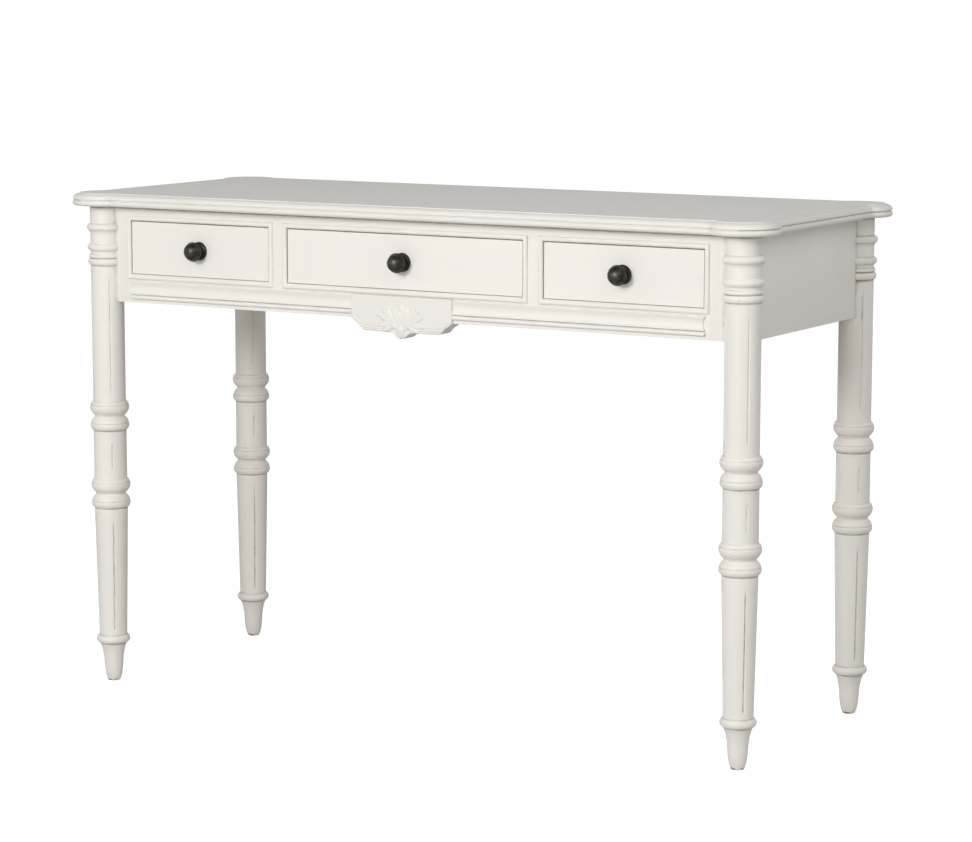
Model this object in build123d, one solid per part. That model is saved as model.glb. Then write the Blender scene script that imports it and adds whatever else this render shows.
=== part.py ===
"""Writing desk with three drawers in one row, on four turned and fluted legs.

Millimetres, +Z up, the front faces -Y. The origin is on the floor, midway between the four legs.
"""
import os
from math import atan2, degrees, radians, cos, sin, sqrt

from build123d import *

# Overall sizes
HEIGHT = 775.0
TOP_THICKNESS = 20.0
LEG_X = 548.0  # leg axis, left and right of the middle
LEG_Y = 194.0  # leg axis, in front of and behind the middle
TOP_ROUND = 52.0  # radius of the rounded corner of the top, about the leg axis
TOP_STRAIGHT = 38.0  # the straight edges of the top, outside the leg axes

# Apron frame
APRON_BOTTOM = 606.0
APRON_TOP = HEIGHT - TOP_THICKNESS
APRON_THICKNESS = 22.0
FACE_OUT = 9.4  # outer face of every apron board, outside the leg axis
HOUSED = 13.0  # an apron end stops this far short of the leg axis
FRONT_FACE = -(LEG_Y + FACE_OUT)
FRAME_BACK = FRONT_FACE + APRON_THICKNESS
REAR_INNER = LEG_Y + FACE_OUT - APRON_THICKNESS
SIDE_INNER = LEG_X + FACE_OUT - APRON_THICKNESS

# Drawer openings, measured at the middle of the gap round each drawer front
GAP = 1.4
OPENING_BOTTOM = 650.5
OPENING_TOP = 732.6
CENTRE_HALF = 202.9
OUTER_NEAR = 237.1
OUTER_FAR = 492.4
BEAD_WIDTH = 7.5
BEAD_PROUD = 4.0

# Drawers
FRONT_THICK = 20.0
SIDE_THICK = 12.0
REBATE = 10.0  # how far a drawer side is let into the back of the drawer front
SIDE_INSET = 0.5
SIDE_BOTTOM = 650.0
SIDE_TOP = 728.0
DRAWER_BACK = 165.0
BOTTOM_THICK = 5.0
BOTTOM_UNDER = 657.0
GROOVE = 5.0
BACK_TOP = 722.0

# Runners, kickers, blocks
RUNNER_UNDER = 620.0
GUIDE_TOP = 668.0
GUIDE_PLAY = 0.8
KICKER_UNDER = 730.0
BLOCK_UNDER = 733.0
BLOCK_NEAR = 16.0
BLOCK_FAR = 40.0

# Screws
WOOD_SCREW = 4.0
SCREW_HEAD = 8.0
HEAD_DEEP = 2.5
SCREW_LONG = 35.0
HOLE_PLAY = 0.6


def block(x0, x1, y0, y1, z0, z1):
    """A box between two corners, in any order."""
    size = (abs(x1 - x0), abs(y1 - y0), abs(z1 - z0))
    middle = ((x0 + x1) / 2, (y0 + y1) / 2, (z0 + z1) / 2)
    return Pos(*middle) * Box(*size)


def save(shape, name):
    """One node of the desk."""
    shape.label = name
    export_step(shape, "parts/" + name + ".step")


# ---------------------------------------------------------------- top
def top_outline(inset, level):
    """The outline of the top at one height, drawn in by the inset: straight edges, rounded corners."""
    reach = TOP_STRAIGHT - inset
    radius = TOP_ROUND - inset
    along = sqrt(radius ** 2 - reach ** 2)
    edges = []
    corners = [(1, -1), (1, 1), (-1, 1), (-1, -1)]
    ends = []
    for sx, sy in corners:
        cx = sx * LEG_X
        cy = sy * LEG_Y
        side_cusp = (cx + sx * reach, cy - sy * along, level)
        long_cusp = (cx - sx * along, cy + sy * reach, level)
        outer = (cx + sx * radius * cos(radians(45)), cy + sy * radius * sin(radians(45)), level)
        first, last = (long_cusp, side_cusp) if sx * sy < 0 else (side_cusp, long_cusp)
        ends.append((first, outer, last))
    for i, (first, outer, last) in enumerate(ends):
        following = ends[(i + 1) % 4][0]
        edges.append(ThreePointArc(first, outer, last))
        edges.append(Line(last, following))
    return Face(Wire(edges))


# The moulded edge from the underside up: how far it is drawn in, and the height above the underside.
EDGE = [
    (6.5, 0.0), (2.2, 0.9), (0.4, 2.6), (0.0, 4.6), (0.4, 6.6), (2.2, 8.3), (3.6, 8.9),
    (3.6, 9.9), (0.6, 10.3), (0.6, 12.0), (1.4, 14.2), (3.4, 16.3), (6.6, 17.8), (10.6, 18.4),
    (11.0, 20.0),
]


def top_board():
    underside = HEIGHT - TOP_THICKNESS
    board = loft([top_outline(inset, underside + up) for inset, up in EDGE], ruled=True)
    for x, y in top_screw_places():
        board -= Pos(x, y, underside + 7) * Cylinder((WOOD_SCREW + HOLE_PLAY) / 2, 14.4)
    return board


# ---------------------------------------------------------------- legs
def ring(low, high, base_low, base_high, crest):
    """Edges of one turned ring, from its lower edge to its upper edge."""
    return ThreePointArc((base_low, low), (crest, (low + high) / 2), (base_high, high))


def leg_profile():
    """Half section of a leg as (radius, height), closed along its axis."""
    p = []
    p.append(Line((0, 0), (9.0, 0)))
    p.append(ThreePointArc((9.0, 0), (12.4, 2.2), (13.6, 8.0)))
    p.append(Spline((13.6, 8.0), (15.1, 27.8), (16.2, 42.0), (20.8, 58.5)))
    p.append(Line((20.8, 58.5), (23.0, 60.0)))
    p.append(ring(60.0, 74.2, 23.0, 22.4, 26.6))
    p.append(Line((22.4, 74.2), (21.8, 76.0)))
    p.append(Line((21.8, 76.0), (25.9, 277.5)))
    p.append(ring(277.5, 297.5, 25.9, 25.2, 30.5))
    p.append(ThreePointArc((25.2, 297.5), (24.4, 302.1), (25.2, 306.7)))
    p.append(ring(306.7, 326.0, 25.2, 26.0, 30.5))
    p.append(Line((26.0, 326.0), (25.6, 400.5)))
    p.append(ring(400.5, 419.5, 25.6, 25.0, 30.5))
    p.append(ThreePointArc((25.0, 419.5), (24.0, 424.2), (25.0, 429.0)))
    p.append(ring(429.0, 448.0, 25.0, 25.5, 30.5))
    p.append(Line((25.5, 448.0), (25.5, 661.5)))
    p.append(ring(661.5, 672.7, 25.5, 26.4, 29.4))
    p.append(ring(672.7, 679.0, 26.4, 26.0, 27.8))
    p.append(ThreePointArc((26.0, 679.0), (24.9, 681.6), (26.8, 684.6)))
    p.append(ring(684.6, 695.2, 26.8, 25.5, 30.0))
    p.append(Line((25.5, 695.2), (25.5, 708.6)))
    p.append(ThreePointArc((25.5, 708.6), (25.9, 713.4), (28.4, 716.4)))
    p.append(ring(716.4, 727.0, 28.4, 25.5, 30.6))
    p.append(Line((25.5, 727.0), (25.5, APRON_TOP)))
    p.append(Line((25.5, APRON_TOP), (0, APRON_TOP)))
    p.append(Line((0, APRON_TOP), (0, 0)))
    return make_face(p)


# Each run of flutes: lower end, upper end, radius of the leg at each.
FLUTE_RUNS = [(84.0, 256.0, 22.0, 25.45), (342.0, 381.0, 25.9, 25.7), (465.0, 639.0, 25.5, 25.5)]
FLUTE_WIDTH = 3.2
FLUTE_DEEP = 1.5


def flute(low, high, radius_low, radius_high):
    """A round-ended rod that cuts one flute, on the +X side of a leg."""
    half = FLUTE_WIDTH / 2
    bite = half - FLUTE_DEEP
    length = high - low - FLUTE_WIDTH
    tilt = degrees(atan2(radius_high - radius_low, high - low))
    place = Pos((radius_low + radius_high) / 2 + bite, 0, (low + high) / 2) * Rot(0, tilt, 0)
    rod = Cylinder(half, length)
    rod += Pos(0, 0, length / 2) * Sphere(half)
    rod += Pos(0, 0, -length / 2) * Sphere(half)
    return place * rod


def turned_leg():
    leg = revolve(Plane.XZ * leg_profile(), Axis.Z)
    for run in FLUTE_RUNS:
        rod = flute(*run)
        for turn in (45, 135, 225, 315):
            leg -= Rot(0, 0, turn) * rod
    return leg


def housed_leg(blank, sx, sy):
    """A turned leg at one corner, slotted for the two apron ends."""
    leg = Pos(sx * LEG_X, sy * LEG_Y, 0) * blank
    long_in = block(sx * (LEG_X - HOUSED), sx * (LEG_X - 40), sy * (LEG_Y + FACE_OUT),
                    sy * (LEG_Y + FACE_OUT - APRON_THICKNESS), APRON_BOTTOM, APRON_TOP + 1)
    side_in = block(sx * (LEG_X + FACE_OUT), sx * (LEG_X + FACE_OUT - APRON_THICKNESS),
                    sy * (LEG_Y - HOUSED), sy * (LEG_Y - 40), APRON_BOTTOM, APRON_TOP + 1)
    leg -= long_in
    leg -= side_in
    return leg


# ---------------------------------------------------------------- corner blocks and top screws
def block_corner(sx, sy, along_x, along_y):
    """A point measured from the inside corner of the apron frame."""
    return (sx * (SIDE_INNER - along_x), sy * (REAR_INNER - along_y))


def corner_block(sx, sy):
    points = [(BLOCK_NEAR, 0), (BLOCK_FAR, 0), (0, BLOCK_FAR), (0, BLOCK_NEAR)]
    flat = [block_corner(sx, sy, *p) for p in points]
    shape = extrude(make_face(Polyline(*flat, close=True)), APRON_TOP - BLOCK_UNDER, dir=(0, 0, 1))
    shape = Pos(0, 0, BLOCK_UNDER) * shape
    x, y = block_corner(sx, sy, 25, 8)
    shape -= Pos(x, y, APRON_TOP - 11) * Cylinder((WOOD_SCREW + HOLE_PLAY) / 2, 24)
    return shape


def screw():
    """A pan-headed screw lying along +Z, the underside of its head at zero."""
    shank = Cylinder(WOOD_SCREW / 2, SCREW_LONG, align=(Align.CENTER, Align.CENTER, Align.MIN))
    head = Cylinder(SCREW_HEAD / 2, HEAD_DEEP, align=(Align.CENTER, Align.CENTER, Align.MAX))
    head = fillet(head.edges().group_by(Axis.Z)[0], 1.2)
    slot = Pos(0, 0, -HEAD_DEEP) * Box(SCREW_HEAD + 1, 1.0, 1.8)
    return shank + head - slot


def top_screw_places():
    places = [block_corner(sx, sy, 25, 8) for sx in (-1, 1) for sy in (-1, 1)]
    divider = (CENTRE_HALF + OUTER_NEAR) / 2
    places += [(sx * divider, y) for sx in (-1, 1) for y in (-120, 120)]
    return places


def top_screw_level(x):
    """A screw through a kicker starts a little lower than one through a corner block."""
    return KICKER_UNDER if abs(x) < OUTER_NEAR else BLOCK_UNDER


# ---------------------------------------------------------------- front frame
def opening(name):
    """Left and right of an opening, at the middle of the gap."""
    return {"left": (-OUTER_FAR, -OUTER_NEAR), "centre": (-CENTRE_HALF, CENTRE_HALF),
            "right": (OUTER_NEAR, OUTER_FAR)}[name]


BEAD_IN = GAP / 2  # the bead's inner edge, outside the middle of the gap
BEAD_OUT = GAP / 2 + BEAD_WIDTH
FRAME_LOW = OPENING_BOTTOM - BEAD_OUT
FRAME_HIGH = OPENING_TOP + BEAD_OUT


def bead_strip(length):
    """A round-nosed strip along +X, its inner edge on the X axis, ends mitred outward at 45 degrees."""
    nose = BEAD_WIDTH / 2
    deep = APRON_THICKNESS + BEAD_PROUD
    section = Rectangle(deep, BEAD_WIDTH)
    section = fillet(section.vertices().group_by(Axis.X)[0], nose * 0.86)
    run = length + 2 * BEAD_WIDTH
    strip = extrude(Plane.YZ * section, run / 2, both=True)
    strip = Pos(0, (deep / 2) - BEAD_PROUD, BEAD_WIDTH / 2) * strip
    for side in (-1, 1):
        corner = [(side * length / 2, 0), (side * (run / 2 + 1), 0), (side * (run / 2 + 1), BEAD_WIDTH + 1)]
        wedge = extrude(Plane.XZ * make_face(Polyline(*corner, close=True)), 40, both=True)
        strip -= wedge
    return strip


def bead_frame(name):
    """The four mitred strips round one opening, each its own solid."""
    x0, x1 = opening(name)
    x0 -= BEAD_IN
    x1 += BEAD_IN
    z0 = OPENING_BOTTOM - BEAD_IN
    z1 = OPENING_TOP + BEAD_IN
    xm = (x0 + x1) / 2
    zm = (z0 + z1) / 2
    wide = bead_strip(x1 - x0)
    tall = bead_strip(z1 - z0)
    strips = [
        Pos(xm, FRONT_FACE, z1) * wide,
        Pos(xm, FRONT_FACE, z0) * Rot(0, 180, 0) * wide,
        Pos(x1, FRONT_FACE, zm) * Rot(0, 90, 0) * tall,
        Pos(x0, FRONT_FACE, zm) * Rot(0, -90, 0) * tall,
    ]
    return Compound(children=strips)


def drop_outline():
    """Right half of the shaped drop in the middle of the lower rail, from its top down."""
    return [
        (87.0, 607.5), (86.2, 605.0), (82.0, 601.6), (76.8, 598.6), (72.4, 594.6), (69.0, 590.6),
        (64.5, 588.8), (30.0, 588.2), (17.0, 587.6), (11.0, 584.6), (7.4, 581.2), (3.6, 579.4),
    ]


def drop_face(top):
    half = drop_outline()
    points = [(87.0, top)] + half + [(0.0, 579.0)] + [(-x, z) for x, z in reversed(half)] + [(-87.0, top)]
    return make_face(Polyline(*points, close=True))


def lower_rail():
    far = OUTER_FAR + BEAD_OUT
    rail = block(-far, far, FRONT_FACE, FRAME_BACK, APRON_BOTTOM, FRAME_LOW)
    drop = extrude(Plane.XZ * drop_face(APRON_BOTTOM + 10), -APRON_THICKNESS)
    return rail + Pos(0, FRONT_FACE, 0) * drop


PLAQUE_THICK = 6.0
PLAQUE_TOP = 641.4


def plaque():
    """The carved panel: a flat field with a rounded edge, a shell in the middle, a spray each side."""
    field = extrude(Plane.XZ * drop_face(PLAQUE_TOP), PLAQUE_THICK)
    front = field.faces().sort_by(Axis.Y)[0]
    field = chamfer(front.edges(), 1.2)
    field = Pos(0, FRONT_FACE, 0) * field
    face = FRONT_FACE - PLAQUE_THICK
    for i in range(5):
        angle = radians(-90 + (i - 2) * 27)
        mid = (cos(angle) * 13.5, 614 + sin(angle) * 15.5)
        petal = Pos(mid[0], face + 1.2, mid[1]) * Rot(0, 90 - degrees(angle), 0) * petal_shape(4.6, 13.0)
        field += petal
    field += Pos(0, face + 1.0, 616) * Rot(90, 0, 0) * dome(7.0, 4.0)
    for side in (-1, 1):
        for x, z, turn in ((24, 604, 62), (33, 607, 78), (26, 613, 40), (40, 612, 100)):
            field += Pos(side * x, face + 1.2, z) * Rot(0, side * turn, 0) * petal_shape(3.6, 8.5)
    return field


def petal_shape(half_width, half_length):
    """A long low leaf, its length along Z."""
    leaf = Sphere(1.0)
    return scale(leaf, by=(half_width, 3.4, half_length))


def dome(radius, high):
    return scale(Sphere(1.0), by=(radius, radius, high))


def moulding_profile():
    """Section of the rail moulding as (how far proud, height)."""
    points = [(0, 639.6), (4.6, 639.6), (4.6, 637.4), (3.4, 636.6)]
    edges = [Polyline(*points)]
    edges.append(ThreePointArc((3.4, 636.6), (1.7, 629.6), (3.6, 621.4)))
    edges.append(Polyline((3.6, 621.4), (4.4, 620.8), (4.4, 619.4), (1.4, 619.0), (1.4, 618.2), (1.8, 618.0)))
    edges.append(ThreePointArc((1.8, 618.0), (5.0, 614.7), (1.8, 611.4)))
    edges.append(Polyline((1.8, 611.4), (0, 611.4), (0, 639.6)))
    return make_face(edges)


def rail_moulding(side):
    """A moulded strip on the lower rail, from the carved plaque to beside the leg."""
    near = 87.0
    far = 494.8
    section = Plane.YZ * mirror(moulding_profile(), Plane.YZ)
    strip = extrude(section, far - near, dir=(1, 0, 0))
    strip = Pos(near, FRONT_FACE, 0) * strip
    return strip if side > 0 else mirror(strip, Plane.YZ)


def divider(sx):
    x0 = sx * (CENTRE_HALF + BEAD_OUT)
    x1 = sx * (OUTER_NEAR - BEAD_OUT)
    return block(x0, x1, FRONT_FACE, FRAME_BACK, FRAME_LOW, FRAME_HIGH)


def stile(sx):
    x0 = sx * (OUTER_FAR + BEAD_OUT)
    x1 = sx * (LEG_X - HOUSED)
    return block(x0, x1, FRONT_FACE, FRAME_BACK, APRON_BOTTOM, APRON_TOP)


# ---------------------------------------------------------------- runners and kickers
def outer_runner(sx):
    """L-shaped runner: the ledge carries the drawer side, the lip guides it."""
    side_face = OUTER_FAR - GAP / 2 - SIDE_INSET
    lip = side_face + GUIDE_PLAY
    ledge = block(sx * (side_face - 14), sx * (lip + 20), FRAME_BACK, REAR_INNER, RUNNER_UNDER, SIDE_BOTTOM)
    return ledge + block(sx * lip, sx * (lip + 20), FRAME_BACK, REAR_INNER, SIDE_BOTTOM - 1, GUIDE_TOP)


def centre_runner(sx):
    """T-shaped runner under a divider: a ledge for the drawer on each side of one guide."""
    inner_face = CENTRE_HALF - GAP / 2 - SIDE_INSET
    outer_face = OUTER_NEAR + GAP / 2 + SIDE_INSET
    ledge = block(sx * (inner_face - 14), sx * (outer_face + 14), FRAME_BACK, REAR_INNER,
                  RUNNER_UNDER, SIDE_BOTTOM)
    guide = block(sx * (inner_face + GUIDE_PLAY), sx * (outer_face - GUIDE_PLAY), FRAME_BACK, REAR_INNER,
                  SIDE_BOTTOM - 1, GUIDE_TOP)
    return ledge + guide


def outer_kicker(sx):
    side_face = OUTER_FAR - GAP / 2 - SIDE_INSET
    return block(sx * (side_face - 14), sx * (side_face + 2), FRAME_BACK, REAR_INNER, KICKER_UNDER, APRON_TOP)


def centre_kicker(sx):
    inner_face = CENTRE_HALF - GAP / 2 - SIDE_INSET
    outer_face = OUTER_NEAR + GAP / 2 + SIDE_INSET
    shape = block(sx * (inner_face - 14), sx * (outer_face + 14), FRAME_BACK, REAR_INNER,
                  KICKER_UNDER, APRON_TOP)
    for x, y in top_screw_places():
        shape -= Pos(x, y, (KICKER_UNDER + APRON_TOP) / 2) * Cylinder((WOOD_SCREW + HOLE_PLAY) / 2, 30)
    return shape


def drawer_stop(name):
    x0, x1 = opening(name)
    xm = (x0 + x1) / 2
    return block(xm - 20, xm + 20, DRAWER_BACK + 0.2, REAR_INNER, 690, 715)


# ---------------------------------------------------------------- drawers
def drawer_parts(name):
    """Every board of one drawer, by name."""
    x0, x1 = opening(name)
    x0 += GAP / 2
    x1 -= GAP / 2
    xm = (x0 + x1) / 2
    left = x0 + SIDE_INSET
    right = x1 - SIDE_INSET
    front_back = FRONT_FACE + FRONT_THICK
    z0 = OPENING_BOTTOM + GAP / 2
    z1 = OPENING_TOP - GAP / 2
    zm = (z0 + z1) / 2
    floor_top = BOTTOM_UNDER + BOTTOM_THICK

    front = block(x0, x1, FRONT_FACE, front_back, z0, z1)
    front = fillet(front.edges().filter_by(Axis.X).group_by(Axis.Y)[0], 0.8)
    for edge in (x0, x1):
        inward = left + SIDE_THICK if edge == x0 else right - SIDE_THICK
        front -= block(edge - 1 if edge == x0 else edge + 1, inward, front_back - REBATE, front_back + 1,
                       z0 - 1, z1 + 1)
    front -= block(left + SIDE_THICK, right - SIDE_THICK, front_back - GROOVE, front_back + 1,
                   BOTTOM_UNDER, floor_top)
    bore = Cylinder((WOOD_SCREW + HOLE_PLAY) / 2, FRONT_THICK + 10)
    front -= Pos(xm, FRONT_FACE + FRONT_THICK / 2, zm) * Rot(90, 0, 0) * bore

    sides = {}
    for which, outer, sign in (("left", left, 1), ("right", right, -1)):
        board = block(outer, outer + sign * SIDE_THICK, front_back - REBATE, DRAWER_BACK, SIDE_BOTTOM, SIDE_TOP)
        board -= block(outer + sign * (SIDE_THICK - GROOVE), outer + sign * (SIDE_THICK + 1),
                       front_back - REBATE - 1, DRAWER_BACK + 1, BOTTOM_UNDER, floor_top)
        sides[which] = board

    back = block(left + SIDE_THICK, right - SIDE_THICK, DRAWER_BACK - SIDE_THICK, DRAWER_BACK,
                 floor_top, BACK_TOP)
    bottom = block(left + SIDE_THICK - GROOVE, right - SIDE_THICK + GROOVE, front_back, DRAWER_BACK,
                   BOTTOM_UNDER, floor_top)
    bottom += block(left + SIDE_THICK, right - SIDE_THICK, front_back - GROOVE, front_back + 1,
                    BOTTOM_UNDER, floor_top)
    return {"front": front, "side_left": sides["left"], "side_right": sides["right"], "back": back,
            "bottom": bottom, "knob": knob(xm, zm), "knob_screw": knob_screw(xm, zm)}


def dome_middle(radius, start, tip):
    """A point half way along the arc of a ball centred on the axis, from its edge to its tip."""
    centre = (tip ** 2 - start ** 2 - radius ** 2) / (2 * (tip - start))
    half_turn = atan2(radius, start - centre) / 2
    return ((tip - centre) * sin(half_turn), centre + (tip - centre) * cos(half_turn))


def knob(x, z):
    """Round base, waisted neck and domed head with a rim, turned about the line out of the front."""
    p = []
    p.append(Line((0, 0), (14.2, 0)))
    p.append(Line((14.2, 0), (14.2, 1.6)))
    p.append(ThreePointArc((14.2, 1.6), (12.0, 3.6), (8.6, 4.4)))
    p.append(ThreePointArc((8.6, 4.4), (6.2, 8.4), (7.4, 13.2)))
    p.append(ThreePointArc((7.4, 13.2), (10.0, 15.4), (14.0, 16.2)))
    p.append(ThreePointArc((14.0, 16.2), (15.0, 17.4), (14.4, 18.6)))
    p.append(ThreePointArc((14.4, 18.6), dome_middle(14.4, 18.6, 31.0), (0, 31.0)))
    p.append(Line((0, 31.0), (0, 0)))
    shape = revolve(Plane.XZ * make_face(p), Axis.Z)
    shape -= Pos(0, 0, 6) * Cylinder((WOOD_SCREW + HOLE_PLAY) / 2, 12.2)
    return Pos(x, FRONT_FACE, z) * Rot(90, 0, 0) * shape


def knob_screw(x, z):
    long = FRONT_THICK + 11.0
    shank = Cylinder(WOOD_SCREW / 2, long, align=(Align.CENTER, Align.CENTER, Align.MIN))
    head = Cylinder(SCREW_HEAD / 2, HEAD_DEEP, align=(Align.CENTER, Align.CENTER, Align.MAX))
    head = fillet(head.edges().group_by(Axis.Z)[0], 1.2)
    slot = Pos(0, 0, -HEAD_DEEP) * Box(SCREW_HEAD + 1, 1.0, 1.8)
    return Pos(x, FRONT_FACE + FRONT_THICK, z) * Rot(90, 0, 0) * (shank + head - slot)


# ---------------------------------------------------------------- the desk
def main():
    os.makedirs("parts", exist_ok=True)
    save(top_board(), "top_board")

    leg_blank = turned_leg()
    corners = {"front_left": (-1, -1), "front_right": (1, -1), "back_left": (-1, 1), "back_right": (1, 1)}
    for name, (sx, sy) in corners.items():
        save(housed_leg(leg_blank, sx, sy), "leg_" + name)
        save(corner_block(sx, sy), "corner_block_" + name)
    top_screws = [Pos(x, y, top_screw_level(x)) * screw() for x, y in top_screw_places()]
    save(Compound(children=top_screws), "top_screws")

    far = OUTER_FAR + BEAD_OUT
    save(block(-far, far, FRONT_FACE, FRAME_BACK, FRAME_HIGH, APRON_TOP), "front_upper_rail")
    save(lower_rail(), "front_lower_rail")
    save(plaque(), "carved_plaque")
    save(block(-(LEG_X - HOUSED), LEG_X - HOUSED, REAR_INNER, REAR_INNER + APRON_THICKNESS,
               APRON_BOTTOM, APRON_TOP), "back_apron")

    for side, sx in (("left", -1), ("right", 1)):
        save(stile(sx), "front_stile_" + side)
        save(divider(sx), "front_divider_" + side)
        save(rail_moulding(sx), "rail_moulding_" + side)
        save(block(sx * SIDE_INNER, sx * (LEG_X + FACE_OUT), -(LEG_Y - HOUSED), LEG_Y - HOUSED,
                   APRON_BOTTOM, APRON_TOP), "side_apron_" + side)
        save(outer_runner(sx), "outer_runner_" + side)
        save(centre_runner(sx), "centre_runner_" + side)
        save(outer_kicker(sx), "outer_kicker_" + side)
        save(centre_kicker(sx), "centre_kicker_" + side)

    for name in ("left", "centre", "right"):
        save(bead_frame(name), "bead_frame_" + name)
        save(drawer_stop(name), "drawer_stop_" + name)
        for piece, shape in drawer_parts(name).items():
            save(shape, "drawer_" + name + "_" + piece)


main()
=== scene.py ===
import bpy
import bmesh
import math
from mathutils import Vector, Matrix


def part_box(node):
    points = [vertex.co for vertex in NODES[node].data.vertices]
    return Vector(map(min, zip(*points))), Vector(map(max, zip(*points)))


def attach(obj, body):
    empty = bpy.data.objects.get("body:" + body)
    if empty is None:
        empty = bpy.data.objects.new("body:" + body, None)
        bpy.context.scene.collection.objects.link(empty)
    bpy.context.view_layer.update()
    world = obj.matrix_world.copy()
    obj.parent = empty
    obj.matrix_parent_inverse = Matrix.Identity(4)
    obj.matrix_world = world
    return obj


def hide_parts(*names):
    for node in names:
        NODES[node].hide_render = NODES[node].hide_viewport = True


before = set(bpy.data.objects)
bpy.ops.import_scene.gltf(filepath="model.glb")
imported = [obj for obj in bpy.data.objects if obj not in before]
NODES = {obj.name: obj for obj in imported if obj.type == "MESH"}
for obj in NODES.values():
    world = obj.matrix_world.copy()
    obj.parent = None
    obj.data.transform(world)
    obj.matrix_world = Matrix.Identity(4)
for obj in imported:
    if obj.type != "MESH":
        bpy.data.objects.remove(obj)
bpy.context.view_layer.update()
MM = 0.001
TOP_OVERHANG = 0.038  # how far the straight edges of the top stand outside the leg axes
SHAFT = 0.0255  # radius of a leg where the boards meet it
PLAQUE_THICK = 0.006
IVORY = (0.80, 0.775, 0.735, 1)


# ---------------------------------------------------------------- places read from the frame
def middle(node):
    low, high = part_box(node)
    return (low + high) / 2


top_low, top_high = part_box("top_board")
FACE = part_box("front_lower_rail")[0].y  # the painted face of the drawer frame
side_low, side_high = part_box("side_apron_right")
SIDE_FACE = side_high.x
APRON_BOTTOM = side_low.z
APRON_TOP = top_low.z
CORNERS = ("front_left", "front_right", "back_left", "back_right")
LEGS = {"leg_" + corner: middle("leg_" + corner) for corner in CORNERS}
LEG_X = LEGS["leg_front_right"].x
LEG_Y = LEGS["leg_back_right"].y
# a board's face meets the round of its leg this far from the leg's axis
CHORD = math.sqrt(SHAFT ** 2 - (SIDE_FACE - LEG_X) ** 2)


# ---------------------------------------------------------------- small helpers for node trees
def add(tree, kind, **settings):
    made = tree.nodes.new(kind)
    for name, value in settings.items():
        setattr(made, name, value)
    return made


def feed(tree, value, socket):
    """Links an output, or sets a plain value."""
    if isinstance(value, bpy.types.NodeSocket):
        tree.links.new(value, socket)
    elif value is not None:
        socket.default_value = value


def sum_of(tree, operation, a, b=None, c=None, clamp=False):
    made = add(tree, "ShaderNodeMath", operation=operation, use_clamp=clamp)
    feed(tree, a, made.inputs[0])
    feed(tree, b, made.inputs[1])
    feed(tree, c, made.inputs[2])
    return made.outputs[0]


def arithmetic(tree, *operations):
    """A short function for each operation, all for one tree."""
    return [lambda *values, how=operation: sum_of(tree, how, *values) for operation in operations]


def stretched(tree, place, by):
    """A place multiplied by a vector, part by part."""
    made = add(tree, "ShaderNodeVectorMath", operation="MULTIPLY")
    feed(tree, place, made.inputs[0])
    feed(tree, by, made.inputs[1])
    return made.outputs[0]


SCALE_BY = 3  # where a vector node keeps the number it scales by


def shaded(tree, colour, tone):
    """A colour made lighter or darker."""
    made = add(tree, "ShaderNodeVectorMath", operation="SCALE")
    feed(tree, colour, made.inputs[0])
    feed(tree, tone, made.inputs[SCALE_BY])
    return made.outputs[0]


def ramp(tree, value, low, high, out_low=0.0, out_high=1.0):
    """Runs smoothly from one value to another as the input goes from low to high."""
    made = add(tree, "ShaderNodeMapRange", interpolation_type="SMOOTHSTEP")
    feed(tree, value, made.inputs["Value"])
    feed(tree, low, made.inputs["From Min"])
    feed(tree, high, made.inputs["From Max"])
    feed(tree, out_low, made.inputs["To Min"])
    feed(tree, out_high, made.inputs["To Max"])
    return made.outputs[0]


COLOUR_A, COLOUR_B, MIXED = 6, 7, 2  # where a mix node keeps its colours and its colour output


def blend_colours(tree, share, a, b):
    made = add(tree, "ShaderNodeMix", data_type="RGBA", blend_type="MIX")
    feed(tree, share, made.inputs[0])
    feed(tree, a, made.inputs[COLOUR_A])
    feed(tree, b, made.inputs[COLOUR_B])
    return made.outputs[MIXED]


def speckle(tree, place, scale, detail=2.0, rough=0.5, distort=0.0):
    made = add(tree, "ShaderNodeTexNoise")
    feed(tree, place, made.inputs["Vector"])
    made.inputs["Scale"].default_value = scale
    made.inputs["Detail"].default_value = detail
    made.inputs["Roughness"].default_value = rough
    made.inputs["Distortion"].default_value = distort
    return made.outputs["Fac"]


def sockets(tree, inputs, outputs):
    """Names a group's inputs and outputs, and returns its two end nodes."""
    for name, kind, value in inputs:
        made = tree.interface.new_socket(name, in_out="INPUT", socket_type=kind)
        if value is not None:
            made.default_value = value
    for name, kind in outputs:
        tree.interface.new_socket(name, in_out="OUTPUT", socket_type=kind)
    return add(tree, "NodeGroupInput"), add(tree, "NodeGroupOutput")


FLOAT, VECTOR, COLOUR = "NodeSocketFloat", "NodeSocketVector", "NodeSocketColor"
INT, GEOMETRY, MATERIAL = "NodeSocketInt", "NodeSocketGeometry", "NodeSocketMaterial"


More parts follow.
